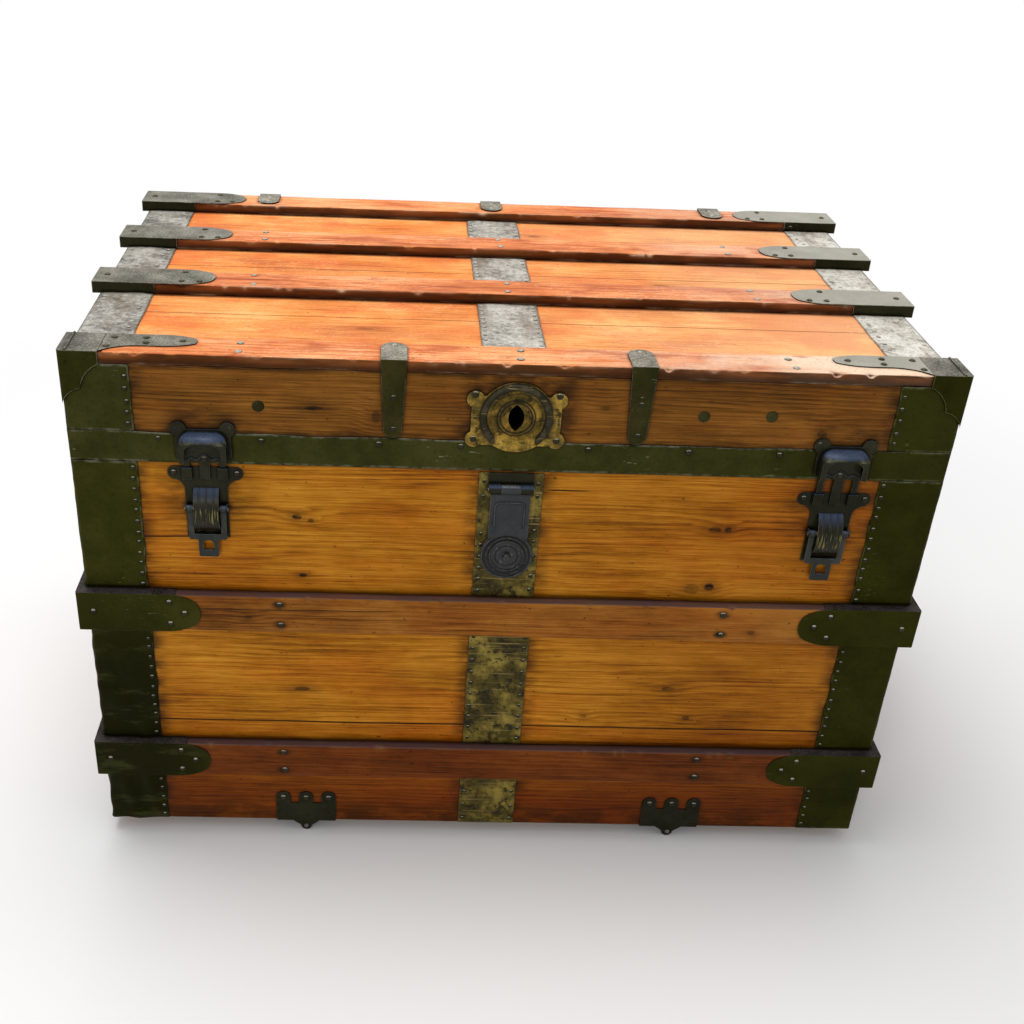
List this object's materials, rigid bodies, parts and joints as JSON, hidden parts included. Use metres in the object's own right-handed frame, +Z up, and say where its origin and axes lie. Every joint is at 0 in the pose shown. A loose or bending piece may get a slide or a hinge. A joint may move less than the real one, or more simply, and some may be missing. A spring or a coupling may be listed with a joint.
{
  "type": "flat-top trunk",
  "caption": "Flat-top wooden trunk with slats, steel corner clamps, hinged lid, flip-up latches, hasp lock, end handles and small floor rollers.",
  "frame": {"origin": "on the floor, under the middle of the closed trunk", "axes": "+X to the right along the width, +Y from the front to the back, +Z up; the front faces -Y"},
  "size_m": [0.8896, 0.5696, 0.5934],
  "materials": {
    "pine_boards": "aged, oiled softwood boards",
    "dark_slats": "red-brown varnished hardwood",
    "black_steel": "worn dark olive paint on sheet steel",
    "grey_steel": "dull weathered steel",
    "old_brass": "tarnished brass plating",
    "leather": "old saddle leather"
  },
  "bodies": {
    "case": {"case_front": "pine_boards", "case_back": "pine_boards", "case_left": "pine_boards", "case_right": "pine_boards", "case_bottom": "pine_boards", "case_bindings": "black_steel", "mid_slats": "dark_slats", "low_slats": "dark_slats", "mid_slat_clamps": "black_steel", "low_slat_clamps": "black_steel", "centre_plates": "old_brass", "lock_plate": "old_brass", "lock_hinge": "black_steel", "latch_plate_left": "black_steel", "latch_plate_right": "black_steel", "latch_spring_left": "grey_steel", "latch_spring_right": "grey_steel", "pivot_pins": "grey_steel", "hinge_leaves": "black_steel", "hinge_pins": "grey_steel", "roller_bracket_front_left": "black_steel", "roller_bracket_front_right": "black_steel", "roller_bracket_back_left": "black_steel", "roller_bracket_back_right": "black_steel", "roller_pins": "grey_steel", "handle_brackets_left": "black_steel", "handle_brackets_right": "black_steel", "case_clamp_nails": "grey_steel"},
    "lid": {"lid_top": "pine_boards", "lid_front": "pine_boards", "lid_back": "pine_boards", "lid_left": "pine_boards", "lid_right": "pine_boards", "lid_band": "black_steel", "lid_bindings": "black_steel", "lid_end_sheets": "grey_steel", "lid_centre_sheets": "grey_steel", "lid_slat_1": "dark_slats", "lid_slat_2": "dark_slats", "lid_slat_3": "dark_slats", "lid_slat_4": "dark_slats", "lid_slat_clamps": "grey_steel", "cap_left": "black_steel", "cap_right": "black_steel", "lid_straps": "black_steel", "hinge_straps": "black_steel", "latch_hood_left": "black_steel", "latch_hood_right": "black_steel", "escutcheon": "old_brass", "lock_ring": "old_brass", "lid_rivets": "grey_steel"},
    "lever_left": {"lever_left": "black_steel"},
    "lever_right": {"lever_right": "black_steel"},
    "lock_hasp": {"lock_hasp": "black_steel"},
    "roller_front_left": {"roller_front_left": "grey_steel"},
    "roller_front_right": {"roller_front_right": "grey_steel"},
    "roller_back_left": {"roller_back_left": "grey_steel"},
    "roller_back_right": {"roller_back_right": "grey_steel"},
    "handle_left": {"handle_left": "leather"},
    "handle_right": {"handle_right": "leather"}
  },
  "joints": [
    {"name": "lid_hinge", "type": "hinge", "parent": "case", "child": "lid", "pos_m": [0, 0.2752, 0.478], "axis": [-1, 0, 0], "range_deg": [0, 100]},
    {"name": "latch_left_pivot", "type": "hinge", "parent": "case", "child": "lever_left", "pos_m": [-0.302, -0.276, 0.43], "axis": [-1, 0, 0], "range_deg": [0, 170]},
    {"name": "latch_right_pivot", "type": "hinge", "parent": "case", "child": "lever_right", "pos_m": [0.326, -0.276, 0.419], "axis": [-1, 0, 0], "range_deg": [0, 170]},
    {"name": "hasp_pivot", "type": "hinge", "parent": "case", "child": "lock_hasp", "pos_m": [0, -0.2755, 0.46], "axis": [-1, 0, 0], "range_deg": [0, 180]},
    {"name": "roller_front_left_spin", "type": "hinge", "parent": "case", "child": "roller_front_left", "pos_m": [-0.209, -0.2557, 0.007], "axis": [0, 1, 0], "continuous": true},
    {"name": "roller_front_right_spin", "type": "hinge", "parent": "case", "child": "roller_front_right", "pos_m": [0.216, -0.2557, 0.007], "axis": [0, 1, 0], "continuous": true},
    {"name": "roller_back_left_spin", "type": "hinge", "parent": "case", "child": "roller_back_left", "pos_m": [-0.209, 0.2557, 0.007], "axis": [0, 1, 0], "continuous": true},
    {"name": "roller_back_right_spin", "type": "hinge", "parent": "case", "child": "roller_back_right", "pos_m": [0.216, 0.2557, 0.007], "axis": [0, 1, 0], "continuous": true},
    {"name": "handle_left_hinge", "type": "hinge", "parent": "case", "child": "handle_left", "pos_m": [-0.4393, 0, 0.416], "axis": [0, 1, 0], "range_deg": [0, 175]},
    {"name": "handle_right_hinge", "type": "hinge", "parent": "case", "child": "handle_right", "pos_m": [0.4393, 0, 0.416], "axis": [0, -1, 0], "range_deg": [0, 175]}
  ]
}
